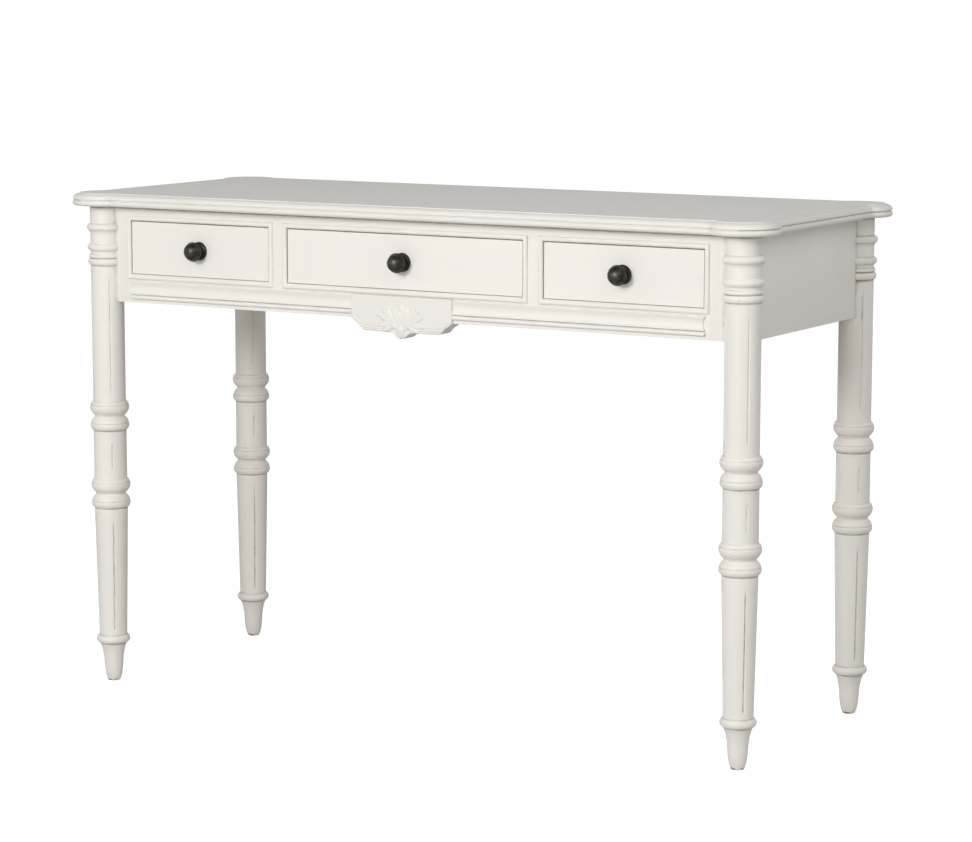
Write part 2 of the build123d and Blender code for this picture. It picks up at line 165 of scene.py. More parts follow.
# ---------------------------------------------------------------- effects shared by the finishes
def brushed_paint():
    """Hand-brushed paint over open grain: tone that drifts, brush lines along the grain, brown glaze
    left in hollows, which also carries painted shade where a finish lays it in, and small chips on crests."""
    tree = bpy.data.node_groups.new("Brushed and glazed paint with painted shade", "ShaderNodeTree")
    ins, outs = sockets(tree, [
        ("Place", VECTOR, None),
        ("Grain stretch", VECTOR, (1.0, 1.0, 1.0)),
        ("Paint", COLOUR, IVORY),
        ("Glaze and painted shade", COLOUR, (0.365, 0.31, 0.235, 1)),
        ("Bare wood", COLOUR, (0.27, 0.15, 0.085, 1)),
        ("Hollow", FLOAT, 0.0),
        ("Crest", FLOAT, 0.0),
        ("Drift", FLOAT, 0.06),
        ("Brush lines", FLOAT, 0.05),
    ], [("Colour", COLOUR), ("Roughness", FLOAT), ("Height", FLOAT)])
    plus, minus, times = arithmetic(tree, "ADD", "SUBTRACT", "MULTIPLY")
    place = ins.outputs["Place"]
    grained = stretched(tree, place, ins.outputs["Grain stretch"])
    clouds = speckle(tree, place, 7.0, 3.0, 0.55)
    lines = speckle(tree, grained, 260.0, 3.0, 0.6, 0.2)
    pores = speckle(tree, grained, 900.0, 2.0, 0.5)
    patchy = speckle(tree, place, 55.0, 4.0, 0.6)
    nick = speckle(tree, place, 120.0, 3.0, 0.65)
    drift = times(minus(clouds, 0.5), ins.outputs["Drift"])
    brushed = times(minus(lines, 0.5), ins.outputs["Brush lines"])
    toned = shaded(tree, ins.outputs["Paint"], plus(plus(drift, brushed), 1.0))
    # glaze in hollows, and painted shade laid in where a finish asks for it
    glaze_and_shade_share = ramp(tree, plus(ins.outputs["Hollow"], times(minus(patchy, 0.5), 0.7)), 0.45, 1.25)
    glazed_and_shaded = blend_colours(tree, glaze_and_shade_share, toned, ins.outputs["Glaze and painted shade"])
    chipped = ramp(tree, times(nick, ins.outputs["Crest"]), 0.58, 0.66)
    feed(tree, blend_colours(tree, chipped, glazed_and_shaded, ins.outputs["Bare wood"]), outs.inputs["Colour"])
    rough = plus(plus(0.40, times(clouds, 0.12)), times(glaze_and_shade_share, 0.2))
    feed(tree, rough, outs.inputs["Roughness"])
    relief = plus(times(lines, 0.6), times(pores, 0.4))
    feed(tree, minus(relief, times(chipped, 1.5)), outs.inputs["Height"])
    return tree


def wood_grain():
    """Straight-grained wood: growth rings cut lengthways, fibres and pores."""
    tree = bpy.data.node_groups.new("Straight grain", "ShaderNodeTree")
    ins, outs = sockets(tree, [
        ("Place", VECTOR, None),
        ("Grain stretch", VECTOR, (1.0, 1.0, 1.0)),
        ("Early wood", COLOUR, (0.55, 0.36, 0.19, 1)),
        ("Late wood", COLOUR, (0.36, 0.20, 0.09, 1)),
    ], [("Colour", COLOUR), ("Roughness", FLOAT), ("Height", FLOAT)])
    plus, minus, times = arithmetic(tree, "ADD", "SUBTRACT", "MULTIPLY")
    grained = stretched(tree, ins.outputs["Place"], ins.outputs["Grain stretch"])
    rings = speckle(tree, grained, 22.0, 2.0, 0.5, 1.2)
    bands = sum_of(tree, "FRACT", times(rings, 9.0))
    bands = ramp(tree, sum_of(tree, "ABSOLUTE", minus(bands, 0.5)), 0.05, 0.5)
    fibres = speckle(tree, grained, 420.0, 3.0, 0.65)
    share = plus(times(bands, 0.5), times(fibres, 0.5))
    wood = blend_colours(tree, share, ins.outputs["Early wood"], ins.outputs["Late wood"])
    feed(tree, wood, outs.inputs["Colour"])
    feed(tree, plus(0.5, times(fibres, 0.2)), outs.inputs["Roughness"])
    feed(tree, fibres, outs.inputs["Height"])
    return tree


PAINTED = brushed_paint()
GRAINED = wood_grain()
ALONG = {"x": (0.06, 1.0, 1.0), "y": (1.0, 0.06, 1.0), "z": (1.0, 1.0, 0.06)}


def near_line(tree, parts, axis, at, width):
    """1 on a line where one coordinate has a value, fading to 0 at the width. Both signs count."""
    off = sum_of(tree, "ABSOLUTE", sum_of(tree, "SUBTRACT", sum_of(tree, "ABSOLUTE", parts[axis]), at))
    return ramp(tree, off, 0.4 * width, width, 1.0, 0.0)


def new_finish(name):
    """A new material, with its tree and its shader."""
    made = bpy.data.materials.new(name)
    made.use_nodes = True
    return made, made.node_tree, made.node_tree.nodes["Principled BSDF"]


def own_place(tree):
    """Place in the object's own coordinates."""
    return add(tree, "ShaderNodeTexCoord").outputs["Object"]


def use_effect(tree, effect, values):
    """Puts a shared effect into a material, and sets those of its inputs that are plain values."""
    group = add(tree, "ShaderNodeGroup")
    group.node_tree = effect
    feed(tree, own_place(tree), group.inputs["Place"])
    for name, value in values.items():
        group.inputs[name].default_value = value
    return group


def colour_and_relief(tree, shader, colour, rough, height, strength, deep):
    """Feeds a finish's colour, roughness and relief to its shader. deep is the relief's depth in metres."""
    feed(tree, colour, shader.inputs["Base Color"])
    feed(tree, rough, shader.inputs["Roughness"])
    bump = add(tree, "ShaderNodeBump")
    bump.inputs["Strength"].default_value = strength
    bump.inputs["Distance"].default_value = deep
    feed(tree, height, bump.inputs["Height"])
    feed(tree, bump.outputs[0], shader.inputs["Normal"])


def kept_value(tree, name):
    """A value that the mesh keeps for each point."""
    return add(tree, "ShaderNodeAttribute", attribute_name=name).outputs["Fac"]


X, Y, Z = 0, 1, 2
SHADOW_UNDER_TOP = (Z, APRON_TOP, 0.0064, 1.02)  # painted shadow under the top's overhang, laid in as glaze: axis, value, width, strength


def paint(name, along, colour=IVORY, lines=(), drift=0.06, brush=0.05):
    """Ivory paint. lines hold glaze at joints, and painted shadow under the top: (axis, value, width,
    strength).
    """
    made, tree, shader = new_finish(name)
    group = use_effect(tree, PAINTED, {
        "Grain stretch": ALONG[along], "Paint": colour, "Drift": drift, "Brush lines": brush})
    hollow = kept_value(tree, "hollow")
    if lines:
        parts = add(tree, "ShaderNodeSeparateXYZ")
        feed(tree, own_place(tree), parts.inputs[0])
        for axis, at, width, strength in lines:
            near = near_line(tree, parts.outputs, axis, at, width)
            hollow = sum_of(tree, "MAXIMUM", hollow, sum_of(tree, "MULTIPLY", near, strength))
    feed(tree, hollow, group.inputs["Hollow"])
    feed(tree, kept_value(tree, "crest"), group.inputs["Crest"])
    out = group.outputs
    colour_and_relief(tree, shader, out["Colour"], out["Roughness"], out["Height"], 0.5, 0.12 * MM)
    return made


def bare(name, along, early, late):
    """Unpainted wood, with the grain along one axis."""
    made, tree, shader = new_finish(name)
    out = use_effect(tree, GRAINED, {
        "Grain stretch": ALONG[along], "Early wood": early, "Late wood": late}).outputs
    colour_and_relief(tree, shader, out["Colour"], out["Roughness"], out["Height"], 0.35, 0.2 * MM)
    return made


def dark_bronze():
    """Nearly black bronze with a faint mottle, brighter on crests where fingers rub it and as painted
    highlight.
    """
    made, tree, shader = new_finish("dark_bronze")
    mottle = speckle(tree, own_place(tree), 160.0, 4.0, 0.6)
    dark, light = (0.026, 0.025, 0.023, 1), (0.080, 0.076, 0.069, 1)
    colour = blend_colours(tree, ramp(tree, mottle, 0.35, 0.75), dark, light)
    # lighter on crests, as wear and as painted highlight
    rubbed_and_highlit = sum_of(tree, "MULTIPLY", kept_value(tree, "crest"), 0.5)
    colour = blend_colours(tree, rubbed_and_highlit, colour, (0.19, 0.182, 0.165, 1))
    colour_and_relief(tree, shader, colour, ramp(tree, mottle, 0.2, 0.9, 0.34, 0.52), mottle, 0.25, 0.2 * MM)
    shader.inputs["Metallic"].default_value = 0.85
    return made


def screw_steel():
    """Plain steel wire, faintly mottled."""
    made, tree, shader = new_finish("screw_steel")
    mottle = speckle(tree, own_place(tree), 500.0, 3.0, 0.5)
    colour = blend_colours(tree, mottle, (0.50, 0.49, 0.47, 1), (0.66, 0.65, 0.62, 1))
    feed(tree, colour, shader.inputs["Base Color"])
    feed(tree, ramp(tree, mottle, 0.2, 0.8, 0.28, 0.45), shader.inputs["Roughness"])
    shader.inputs["Metallic"].default_value = 1.0
    return made


# one ivory paint, made lighter, darker or greyer for each surface, partly as tint and partly as painted light
# and shade: the top and its edge darker and greyer, the rail, sides, legs and drawer fronts lighter
IVORY_TOP = paint("ivory_top", "x", (0.765, 0.752, 0.728, 1), drift=0.05, brush=0.06)
IVORY_EDGE = paint("ivory_top_edge", "x", (0.79, 0.765, 0.725, 1), drift=0.05)
# the rail, stile, sides, back and legs carry the top's painted shadow along their upper edge
IVORY_RAIL = paint("ivory_rail", "x", (0.825, 0.80, 0.76, 1), [SHADOW_UNDER_TOP])
IVORY_FRONT = paint("ivory_drawer_front", "x", (0.835, 0.808, 0.765, 1), drift=0.04)
IVORY_STILE = paint("ivory_stile", "z", IVORY, [SHADOW_UNDER_TOP, (X, LEG_X - CHORD, 0.008, 0.66)])
IVORY_SIDE = paint("ivory_side", "y", (0.835, 0.81, 0.77, 1),
                   [SHADOW_UNDER_TOP, (Y, LEG_Y - CHORD, 0.006, 0.8)], drift=0.10)
IVORY_BACK = paint("ivory_back", "x", IVORY, [SHADOW_UNDER_TOP, (X, LEG_X - CHORD, 0.005, 0.8)])
IVORY_LEG = paint("ivory_leg", "z", (0.815, 0.788, 0.742, 1), [SHADOW_UNDER_TOP], drift=0.08)
IVORY_CARVED = paint("ivory_carved", "x", drift=0.08)
BRONZE = dark_bronze()
STEEL = screw_steel()
PINE = {a: bare("planed_pine_along_" + a, a, (0.60, 0.42, 0.24, 1), (0.42, 0.25, 0.12, 1)) for a in "xyz"}
SEALED = {a: bare("sealed_beech_along_" + a, a, (0.62, 0.44, 0.27, 1), (0.50, 0.32, 0.18, 1)) for a in "xyz"}


# ---------------------------------------------------------------- making meshes
def clothe(obj, material):
    obj.data.materials.clear()
    obj.data.materials.append(material)


def new_object(name, data):
    made = bpy.data.objects.new(name, data)
    bpy.context.scene.collection.objects.link(made)
    return made


def mesh_piece(name, points, faces, hollow, crest):
    """An object from points and faces, with two values kept for each point."""
    mesh = bpy.data.meshes.new(name)
    mesh.from_pydata(points, [], faces)
    mesh.attributes.new("hollow", "FLOAT", "POINT").data.foreach_set("value", hollow)
    mesh.attributes.new("crest", "FLOAT", "POINT").data.foreach_set("value", crest)
    return new_object(name, mesh)


def settle(obj, material, body, node, smooth):
    """Merges doubles, closes open ends, turns the faces outward, sets the shading up to an angle, and puts
    the piece on its body in place of its node."""
    work = bmesh.new()
    work.from_mesh(obj.data)
    bmesh.ops.remove_doubles(work, verts=work.verts, dist=1e-6)
    bmesh.ops.dissolve_degenerate(work, edges=work.edges, dist=1e-7)
    bmesh.ops.holes_fill(work, edges=[e for e in work.edges if e.is_boundary])
    bmesh.ops.recalc_face_normals(work, faces=work.faces)
    work.to_mesh(obj.data)
    work.free()
    for polygon in obj.data.polygons:
        polygon.use_smooth = True
    obj.data.set_sharp_from_angle(angle=math.radians(smooth))
    clothe(obj, material)
    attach(obj, body)
    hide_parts(node)


def spaced(points, step):
    """A polyline divided so that no run is longer than the step. Points may carry extra numbers."""
    out = [tuple(points[0])]
    for a, b in zip(points, points[1:]):
        count = max(1, math.ceil(math.dist(a[:2], b[:2]) / step))
        for i in range(1, count + 1):
            out.append(tuple(p + (q - p) * i / count for p, q in zip(a, b)))
    return out


# ---------------------------------------------------------------- turning, mitred frames and mouldings
def woven(tree, section, columns):
    """A grid with a column for each station and a row for each point of the section. Returns the grid,
    the column's number, the section's X and Z at the row, and a reader of the section's own values."""
    count = add(tree, "GeometryNodeAttributeDomainSize", component="MESH")
    feed(tree, section, count.inputs[0])
    points = count.outputs["Point Count"]
    grid = add(tree, "GeometryNodeMeshGrid")
    feed(tree, columns, grid.inputs["Vertices X"])
    feed(tree, points, grid.inputs["Vertices Y"])
    index = add(tree, "GeometryNodeInputIndex").outputs[0]
    column = sum_of(tree, "FLOOR", sum_of(tree, "DIVIDE", sum_of(tree, "ADD", index, 0.5), points))
    row = sum_of(tree, "SUBTRACT", index, sum_of(tree, "MULTIPLY", column, points))

    def read(kind, value):
        sample = add(tree, "GeometryNodeSampleIndex", data_type=kind, domain="POINT")
        feed(tree, section, sample.inputs["Geometry"])
        feed(tree, value, sample.inputs["Value"])
        feed(tree, row, sample.inputs["Index"])
        return sample.outputs["Value"]

    def own(name):
        made = add(tree, "GeometryNodeInputNamedAttribute", data_type="FLOAT")
        made.inputs["Name"].default_value = name
        return read("FLOAT", made.outputs["Attribute"])

    split = add(tree, "ShaderNodeSeparateXYZ")
    feed(tree, read("FLOAT_VECTOR", add(tree, "GeometryNodeInputPosition").outputs[0]), split.inputs[0])
    return grid.outputs["Mesh"], column, split.outputs["X"], split.outputs["Z"], own


def place_and_coat(tree, ins, outs, grid, xyz, hollow, crest):
    """Moves the grid's points, stores the two values, merges the seams, and sets place, turn and finish."""
    made = add(tree, "ShaderNodeCombineXYZ")
    for value, socket in zip(xyz, made.inputs):
        feed(tree, value, socket)
    moved = add(tree, "GeometryNodeSetPosition")
    feed(tree, grid, moved.inputs["Geometry"])
    feed(tree, made.outputs[0], moved.inputs["Position"])
    last = moved.outputs[0]
    # the values go by index, so they are stored before the seams are merged
    for name, value in (("hollow", hollow), ("crest", crest)):
        store = add(tree, "GeometryNodeStoreNamedAttribute", data_type="FLOAT", domain="POINT")
        feed(tree, last, store.inputs["Geometry"])
        store.inputs["Name"].default_value = name
        feed(tree, value, store.inputs["Value"])
        last = store.outputs[0]
    merge = add(tree, "GeometryNodeMergeByDistance")
    feed(tree, last, merge.inputs["Geometry"])
    merge.inputs["Distance"].default_value = 1e-6
    turn = add(tree, "GeometryNodeTransform")
    feed(tree, merge.outputs[0], turn.inputs["Geometry"])
    feed(tree, ins.outputs["Centre"], turn.inputs["Translation"])
    feed(tree, ins.outputs["Tilt"], turn.inputs["Rotation"])
    real = add(tree, "GeometryNodeRealizeInstances")
    feed(tree, turn.outputs[0], real.inputs[0])
    coat = add(tree, "GeometryNodeSetMaterial")
    feed(tree, real.outputs[0], coat.inputs["Geometry"])
    feed(tree, ins.outputs["Finish"], coat.inputs["Material"])
    feed(tree, coat.outputs[0], outs.inputs["Piece"])


COMMON = [("Centre", VECTOR, (0, 0, 0)), ("Tilt", VECTOR, (0, 0, 0)), ("Finish", MATERIAL, None)]


def turning_tree():
    """Turns a half section round an axis. Cuts flutes where the section says so."""
    tree = bpy.data.node_groups.new("Turned piece", "GeometryNodeTree")
    ins, outs = sockets(tree, [
        ("Section", GEOMETRY, None), ("Steps round", INT, 96), ("Flutes", INT, 4), ("Gather", FLOAT, 0.7),
        ("Flute width", FLOAT, 0.0032), ("Flute depth", FLOAT, 0.0016)] + COMMON, [("Piece", GEOMETRY)])
    plus, minus, times, over, sine = arithmetic(tree, "ADD", "SUBTRACT", "MULTIPLY", "DIVIDE", "SINE")
    steps, flutes = ins.outputs["Steps round"], ins.outputs["Flutes"]
    grid, column, radius, height, own = woven(tree, ins.outputs["Section"], plus(steps, 1.0))
    fluted = times(over(column, steps), flutes)
    whole = sum_of(tree, "FLOOR", fluted)
    part = minus(fluted, whole)
    # the stations gather where the flutes are
    part = plus(part, times(sine(times(part, math.tau)), over(ins.outputs["Gather"], math.tau)))
    one = over(math.tau, flutes)
    angle = times(plus(whole, part), one)
    across = times(radius, sine(times(minus(part, 0.5), one)))
    share = over(sum_of(tree, "ABSOLUTE", across), over(ins.outputs["Flute width"], 2.0))
    share = sum_of(tree, "SQRT", sum_of(tree, "SUBTRACT", 1.0, times(share, share), clamp=True))
    radius = minus(radius, times(times(share, own("flute")), ins.outputs["Flute depth"]))
    hollow = sum_of(tree, "MAXIMUM", own("hollow"), times(share, own("stain")))
    xyz = (times(radius, sum_of(tree, "COSINE", angle)), times(radius, sine(angle)), height)
    place_and_coat(tree, ins, outs, grid, xyz, hollow, own("crest"))
    return tree


def framing_tree():
    """Runs a section round a rectangle with mitred corners. Lift raises the lower side's inner face."""
    tree = bpy.data.node_groups.new("Mitred frame", "GeometryNodeTree")
    ins, outs = sockets(tree, [
        ("Section", GEOMETRY, None), ("Steps a side", INT, 12), ("Width", FLOAT, 0.4),
        ("Height", FLOAT, 0.08), ("Lift", FLOAT, 0.0)] + COMMON, [("Piece", GEOMETRY)])
    plus, minus, times = arithmetic(tree, "ADD", "SUBTRACT", "MULTIPLY")
    steps = ins.outputs["Steps a side"]
    columns = sum_of(tree, "MULTIPLY_ADD", steps, 4.0, 1.0)
    grid, column, across, proud, own = woven(tree, ins.outputs["Section"], columns)
    turn = sum_of(tree, "DIVIDE", column, steps)

    def side(peak):
        """-1 to 1 along two opposite sides, and level along the other two."""
        wave = minus(2.0, times(sum_of(tree, "ABSOLUTE", minus(turn, peak)), 2.0))
        return sum_of(tree, "MAXIMUM", sum_of(tree, "MINIMUM", wave, 1.0), -1.0)

    x, z = side(1.5), side(2.5)
    inner = sum_of(tree, "LESS_THAN", across, 0.1 * MM)
    lifted = times(times(sum_of(tree, "LESS_THAN", z, -0.999), inner), ins.outputs["Lift"])
    half_width = sum_of(tree, "MULTIPLY_ADD", ins.outputs["Width"], 0.5, across)
    half_height = sum_of(tree, "MULTIPLY_ADD", ins.outputs["Height"], 0.5, across)
    xyz = (times(x, half_width), times(proud, -1.0), plus(times(z, half_height), lifted))
    place_and_coat(tree, ins, outs, grid, xyz, own("hollow"), own("crest"))
    return tree


def edging_tree():
    """Runs a section straight along X, then returns it to the wall round a mitred corner at the far end.
    Far less than Near turns the strip round."""
    tree = bpy.data.node_groups.new("Returned moulding", "GeometryNodeTree")
    ins, outs = sockets(tree, [
        ("Section", GEOMETRY, None), ("Steps", INT, 30), ("Near", FLOAT, 0.1), ("Far", FLOAT, 0.5),
        ("Proud", FLOAT, 0.005), ("Set in", FLOAT, 0.0006), ("Return glaze", FLOAT, 0.8)] + COMMON,
        [("Piece", GEOMETRY)])
    plus, minus, times = arithmetic(tree, "ADD", "SUBTRACT", "MULTIPLY")
    steps, near = ins.outputs["Steps"], ins.outputs["Near"]
    grid, column, up, proud, own = woven(tree, ins.outputs["Section"], plus(steps, 2.0))
    along = sum_of(tree, "MINIMUM", sum_of(tree, "DIVIDE", column, steps), 1.0)
    last = sum_of(tree, "GREATER_THAN", column, plus(steps, 0.5))
    run = minus(ins.outputs["Far"], near)
    mitre = minus(ins.outputs["Proud"], sum_of(tree, "MAXIMUM", proud, 0.0))
    mitre = times(sum_of(tree, "SIGN", run), mitre)
    x = sum_of(tree, "MULTIPLY_ADD", minus(run, mitre), along, near)
    y = times(minus(1.0, last), times(proud, -1.0))
    y = sum_of(tree, "MULTIPLY_ADD", last, ins.outputs["Set in"], y)
    hollow = sum_of(tree, "MAXIMUM", own("hollow"), times(last, ins.outputs["Return glaze"]))
    place_and_coat(tree, ins, outs, grid, (x, y, up), hollow, own("crest"))
    return tree


LATHE = turning_tree()
FRAMER = framing_tree()
EDGER = edging_tree()


def run_tree(tree, name, base, values):
    """Runs a Geometry Nodes tree on a mesh and keeps the result as a plain mesh object."""
    carrier = new_object(name + "_section", base)
    modifier = carrier.modifiers.new("shape", "NODES")
    modifier.node_group = tree
    for item in tree.interface.items_tree:
        if item.item_type == "SOCKET" and item.in_out == "INPUT" and item.name in values:
            modifier[item.identifier] = values[item.name]
    mesh = bpy.data.meshes.new_from_object(carrier.evaluated_get(bpy.context.evaluated_depsgraph_get()))
    carrier.modifiers.clear()
    bpy.data.objects.remove(carrier)
    mesh.name = name
    return new_object(name, mesh)


UPRIGHT = (0.0, 0.0, 0.0)
OUT_OF_FRONT = (math.pi / 2, 0.0, 0.0)  # a turned piece's axis points forward


def section_mesh(name, rows, closed=False):
    """rows are (x, z, then hollow, crest, flute and stain as far as they are given), the first two in
    millimetres. A closed section ends where it began."""
    values = ("hollow", "crest", "flute", "stain")
    rows = [tuple(r) + (0.0,) * (2 + len(values) - len(r)) for r in rows]
    if closed:
        rows.append(rows[0])
    links = [(i, i + 1) for i in range(len(rows) - 1)]
    mesh = bpy.data.meshes.new(name)
    mesh.from_pydata([(r[0] * MM, 0, r[1] * MM) for r in rows], links, [])
    for place, key in enumerate(values, 2):
        mesh.attributes.new(key, "FLOAT", "POINT").data.foreach_set("value", [r[place] for r in rows])
    return mesh


def arc(a, via, b, count):
    """Points on the circle through three points, from a to b."""
    (ax, ay), (bx, by), (cx, cy) = a, via, b
    aa, bb, cc = ax * ax + ay * ay, bx * bx + by * by, cx * cx + cy * cy
    d = 2 * (ax * (by - cy) + bx * (cy - ay) + cx * (ay - by))
    x = (aa * (by - cy) + bb * (cy - ay) + cc * (ay - by)) / d
    y = (aa * (cx - bx) + bb * (ax - cx) + cc * (bx - ax)) / d
    radius = math.dist((x, y), a)
    first, second, third = (math.atan2(p[1] - y, p[0] - x) for p in (a, via, b))
    sweep = (second - first + math.pi) % math.tau + (third - second + math.pi) % math.tau - math.tau
    turns = [first + sweep * i / count for i in range(count + 1)]
    return [(x + radius * math.cos(turn), y + radius * math.sin(turn)) for turn in turns]


def with_marks(points, marks):
    """Adds how hollow and how much of a crest each point is: marks are (height, reach, hollow, crest)."""
    rows = []
    for r, z in points:
        hollow = 0.0
        crest = 0.0
        for at, reach, h, c in marks:
            near = max(0.0, 1.0 - abs(z - at) / reach)
            hollow = max(hollow, h * near)
            crest = max(crest, c * near)
        rows.append((r, z, hollow, crest))
    return rows


FLUTES = (  # from, to, depth and glaze of each run of flutes on a leg
    (84.0, 256.0, 1.0, 0.88), (342.0, 381.0, 0.8, 0.75), (465.0, 639.0, 0.9, 0.65),
)
FLUTE_END = (0.4, 1.0, 2.0, 3.0)  # rows this far in from a flute's end; it is at full depth from the last


def flute_at(z):
    """Share of the full depth, and the glaze, of a flute at a height on the leg."""
    for low, high, depth, stain in FLUTES:
        if low <= z <= high:
            full = math.sqrt(min(1.0, min(z - low, high - z) / FLUTE_END[-1]))
            return full * depth, full * stain
    return 0.0, 0.0


# height of each pair of rings, with the shaft over it: radius at its foot, at its head, height of its
# head. Every section and carving is in millimetres.
PAIRS = {277.0: (25.8, 25.6, 398.6), 400.0: (25.5, 25.5, 661.0)}


def leg_section():
    """Half section of a leg from the floor up: foot, ankle ring, fluted taper, two pairs of rings,
    fluted shaft, and the three rings beside the drawers."""
    leg_top = APRON_TOP / MM
    # foot
    line = [(0, 0), (4, 0), (8.0, 0), (8.9, 0.4), (9.8, 1.6), (10.7, 3.6), (11.6, 6.0), (12.4, 9.0),
            (13.1, 12.4), (13.7, 16.0), (14.3, 21.0), (14.8, 27.0), (15.1, 33.0), (15.5, 38.5), (16.2, 43.0),
            (17.0, 47.5), (18.0, 52.0), (19.3, 56.5), (20.4, 59.4), (21.3, 60.8), (21.4, 61.4)]
    # ankle ring and taper
    line += arc((22.4, 61.8), (26.4, 68.2), (22.6, 74.4), 14)
    line += [(21.9, 74.6), (21.8, 76.0)]
    line += spaced([(21.8, 76.0), (25.9, 276.2)], 6.0)[1:]
    # each pair of rings, with a waist between them and the shaft over it
    for low, (foot, head, end) in PAIRS.items():
        line += [(25.8, low - 0.4), (25.9, low + 1.2), (25.7, low + 1.8)]
        line += arc((26.4, low + 2.3), (30.3, low + 8.6), (29.8, low + 12.6), 12)
        line += [(29.2, low + 13.1), (29.5, low + 13.8)]
        line += arc((29.1, low + 15.2), (26.7, low + 20.0), (24.0, low + 22.4), 8)
        line += arc((23.5, low + 23.0), (23.2, low + 24.2), (23.6, low + 25.6), 4)
        line += [(24.4, low + 26.6), (25.7, low + 27.6), (26.2, low + 28.0)]
        line += [(25.9, low + 28.5), (26.8, low + 29.1)]
        line += arc((27.3, low + 29.8), (30.5, low + 37.4), (30.1, low + 41.8), 10)
        line += [(29.3, low + 42.4), (29.5, low + 43.1)]
        line += arc((29.2, low + 44.2), (28.0, low + 46.4), (26.1, low + 47.7), 5)
        line += [(25.7, low + 48.3), (25.6, low + 49.4)]
        line += spaced([(foot, low + 52.0), (head, end)], 6.0)
    # the rings beside the drawers, and the plain head of the leg
    line += [(25.9, 661.4)]
    line += arc((26.6, 662.0), (29.4, 667.2), (26.8, 672.3), 10)
    line += [(26.1, 672.8)]
    line += arc((26.4, 673.2), (27.9, 676.0), (26.2, 678.8), 8)
    line += arc((25.8, 679.4), (25.0, 681.8), (26.6, 684.4), 6)
    line += arc((27.0, 684.8), (30.0, 690.0), (26.4, 694.8), 10)
    line += [(25.6, 695.4)]
    line += spaced([(25.5, 696.4), (25.5, 707.6)], 3.0)
    line += arc((25.5, 708.4), (26.0, 713.2), (28.2, 716.2), 8)
    line += arc((28.7, 716.6), (30.7, 721.8), (26.5, 726.6), 10)
    line += [(25.6, 727.2), (25.5, 728.4)]
    line += spaced([(25.5, 730.0), (25.5, leg_top)], 5.0)
    line += [(14, leg_top), (0, leg_top)]
    # glaze in the grooves, painted shadow under the top, and wear on the beads: height, reach, hollow, crest
    marks = [(61.4, 3.0, 1.1, 0), (75.0, 2.6, 1.0, 0), (68.2, 5.0, 0, 0.95), (1.0, 12.0, 0, 1.3)]
    for low in PAIRS:
        marks += [(low + 1.6, 2.6, 1.15, 0), (low + 13.1, 1.3, 0.95, 0), (low + 24.2, 2.4, 0.75, 0),
                  (low + 28.5, 1.6, 0.9, 0), (low + 42.4, 1.3, 0.95, 0), (low + 48.4, 2.0, 0.75, 0),
                  (low + 9.0, 3.0, 0, 1.0), (low + 37.4, 3.0, 0, 1.0)]
    marks += [(661.4, 2.4, 1.0, 0), (672.8, 1.8, 1.2, 0), (679.4, 2.0, 0.8, 0), (684.6, 1.6, 0.6, 0),
              # the mark at 752.5 is painted shadow under the top, not glaze in a groove
              (695.4, 2.0, 0.7, 0), (716.4, 1.6, 0.8, 0), (727.2, 2.2, 0.8, 0), (752.5, 4.0, 0.9, 0),
              (667.2, 3.0, 0, 1.0), (690.0, 3.0, 0, 0.95), (721.8, 3.0, 0, 0.95)]
    rows = [(r, z, h, c) + flute_at(z) for r, z, h, c in with_marks(line, marks)]
    # extra rows where a flute begins and ends, so that its ends are round
    more = []
    for a, b in zip(rows, rows[1:]):
        more.append(a)
        for low, high, depth, stain in FLUTES:
            for z in [low + d for d in FLUTE_END] + [high - d for d in reversed(FLUTE_END)]:
                if a[1] + 0.1 < z < b[1] - 0.1:
                    radius = a[0] + (b[0] - a[0]) * (z - a[1]) / (b[1] - a[1])
                    more.append((radius, z, 0.0, 0.0) + flute_at(z))
    more.append(rows[-1])
    return more


LEG_STEPS = 160
FLUTE_WIDE, FLUTE_DEEP = 3.4 * MM, 1.7 * MM
JOINT_REACH = 0.007  # how far the glaze in the joint of leg and board spreads
JOINT_STAIN = 0.78
LEG_DARKENING = {"leg_back_right": 1.35}  # how much more its upper rings are darkened than those of the other legs


def legs():
    section = leg_section()
    flat = SIDE_FACE - LEG_X  # a board's face stands this far outside the leg's axis
    for name, at in LEGS.items():
        sx = 1 if at.x > 0 else -1
        sy = 1 if at.y > 0 else -1
        made = run_tree(LATHE, "turned_" + name, section_mesh(name, section), {
            "Steps round": LEG_STEPS, "Flutes": 4, "Gather": 0.7, "Flute width": FLUTE_WIDE,
            "Flute depth": FLUTE_DEEP, "Centre": (at.x, at.y, 0.0), "Tilt": UPRIGHT, "Finish": IVORY_LEG})
        # glaze lies where the faces of the drawer frame and the end board meet the round
        hollow = made.data.attributes["hollow"].data
        darkening = LEG_DARKENING.get(name, 1.0)
        for value, vertex in zip(hollow, made.data.vertices):
            if vertex.co.z <= APRON_BOTTOM:
                continue
            # the back right leg is darkened more above the foot of the aprons
            value.value *= darkening
            x = (vertex.co.x - at.x) * sx
            y = (vertex.co.y - at.y) * sy
            to_front = abs(y - flat) if x < 0 else math.inf
            to_side = abs(x - flat) if y < 0 else math.inf
            stain = JOINT_STAIN * (1 - min(to_front, to_side) / JOINT_REACH)
            value.value = max(value.value, stain)
        settle(made, IVORY_LEG, "desk", name, 40.0)


